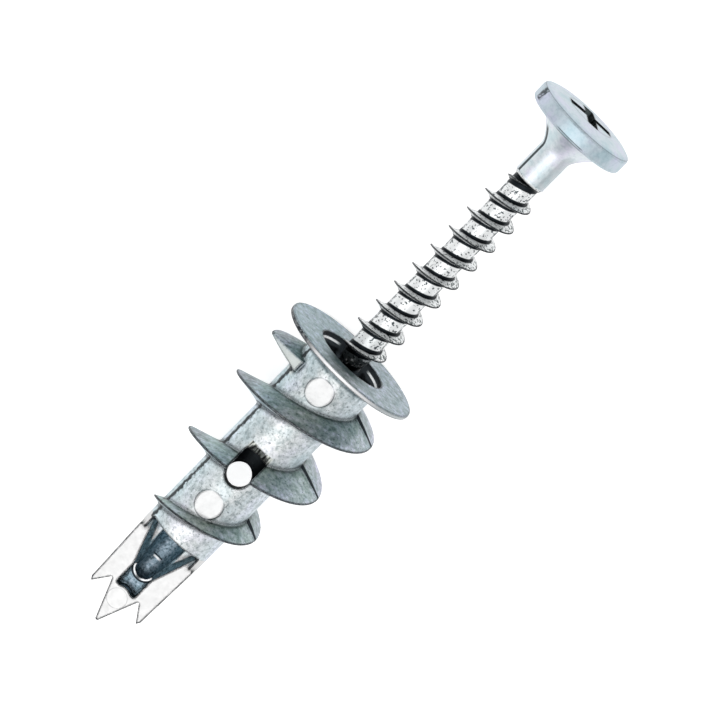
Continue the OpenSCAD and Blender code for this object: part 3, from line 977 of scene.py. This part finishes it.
# %% Floor
FLOOR_HALF, FLOOR_GREY, FLOOR_GLOW = 3.0, 0.85, 0.7
SIGNS = [(-1, -1), (1, -1), (1, 1), (-1, 1)]


def seen_directly():
    """1 for rays from the camera, and for those that bounce off metal or pass through glass."""
    ray = add("ShaderNodeLightPath").outputs
    return any_of(ray["Is Camera Ray"], ray["Is Glossy Ray"], ray["Is Transmission Ray"])


square = [(FLOOR_HALF * across, FLOOR_HALF * back, 0) for across, back in SIGNS]
floor = make_object("floor", square, [(0, 1, 2, 3)])
ground, shader = material("studio floor")
shader.inputs["Base Color"].default_value = (FLOOR_GREY, FLOOR_GREY, FLOOR_GREY, 1)
shader.inputs["Roughness"].default_value = 1.0
shader.inputs["Specular IOR Level"].default_value = 0.0
glow = add("ShaderNodeEmission")
joined = add("ShaderNodeAddShader")
tree.links.new(all_of(seen_directly(), FLOOR_GLOW), glow.inputs["Strength"])
tree.links.new(shader.outputs["BSDF"], joined.inputs[0])
tree.links.new(glow.outputs[0], joined.inputs[1])
tree.links.new(joined.outputs[0], tree.nodes["Material Output"].inputs["Surface"])
floor.data.materials.append(ground)
print("Floor:", 2 * FLOOR_HALF, "m square")

# %% World
WORLD_LIGHT, WORLD_SEEN = 0.5, 1.0

world = bpy.data.worlds.new("studio")
bpy.context.scene.world = world
world.use_nodes = True
tree = world.node_tree
sky = tree.nodes["Background"]
sky.inputs["Color"].default_value = (1, 1, 1, 1)
tree.links.new(span(seen_directly(), 0, 1, WORLD_LIGHT, WORLD_SEEN), sky.inputs["Strength"])
print("World: lights the pieces at", WORLD_LIGHT, "and looks", WORLD_SEEN)

# %% [markdown]
# ## Camera and lamp
# The camera faces the blade side, a little toward the head, and is rolled so that the pair lies from
# corner to corner. A long lens keeps both ends at nearly one scale. One large soft lamp stands in front,
# a little toward the tip, so round metal turns darker at its sides without a hard highlight.

# %% Camera
TOWARD_HEAD, ROLL = math.radians(13.7), math.radians(44.6)
LENS, CAMERA_AWAY = 241.8, 0.4
AIM_RIGHT, AIM_DOWN = 0.62, 0.066

to_camera = blade_side * math.cos(TOWARD_HEAD) + along * math.sin(TOWARD_HEAD)
up_axis = along * math.cos(TOWARD_HEAD) - blade_side * math.sin(TOWARD_HEAD)
right = right_side * math.cos(ROLL) + up_axis * math.sin(ROLL)
up = up_axis * math.cos(ROLL) - right_side * math.sin(ROLL)
aim = flange_centre + right * (AIM_RIGHT * MM) - up * (AIM_DOWN * MM)
view = bpy.data.cameras.new("camera")
view.lens = LENS
view.sensor_width = 36
view.clip_start = 0.01
camera = bpy.data.objects.new("camera", view)
bpy.context.scene.collection.objects.link(camera)
pose = Matrix((right, up, to_camera)).transposed().to_4x4()
camera.matrix_world = Matrix.Translation(aim + to_camera * CAMERA_AWAY) @ pose
bpy.context.scene.camera = camera
bpy.context.scene.view_settings.view_transform = "Standard"
print("Camera:", CAMERA_AWAY, "m from the flange, through a", LENS, "mm lens")

# %% Key lamp
KEY_SIZE, KEY_AWAY, KEY_POWER, KEY_LOWER = 0.4, 0.42, 0.55, 0.3

light = bpy.data.lights.new("key", "AREA")
light.shape = "SQUARE"
light.size = KEY_SIZE
light.energy = KEY_POWER
key = bpy.data.objects.new("key", light)
bpy.context.scene.collection.objects.link(key)
to_key = (blade_side - along * KEY_LOWER).normalized()
across = along.cross(to_key).normalized()
pose = Matrix((across, to_key.cross(across), to_key)).transposed().to_4x4()
key.matrix_world = Matrix.Translation(aim + to_key * KEY_AWAY) @ pose
print("Key lamp:", KEY_SIZE, "m square,", KEY_AWAY, "m away")
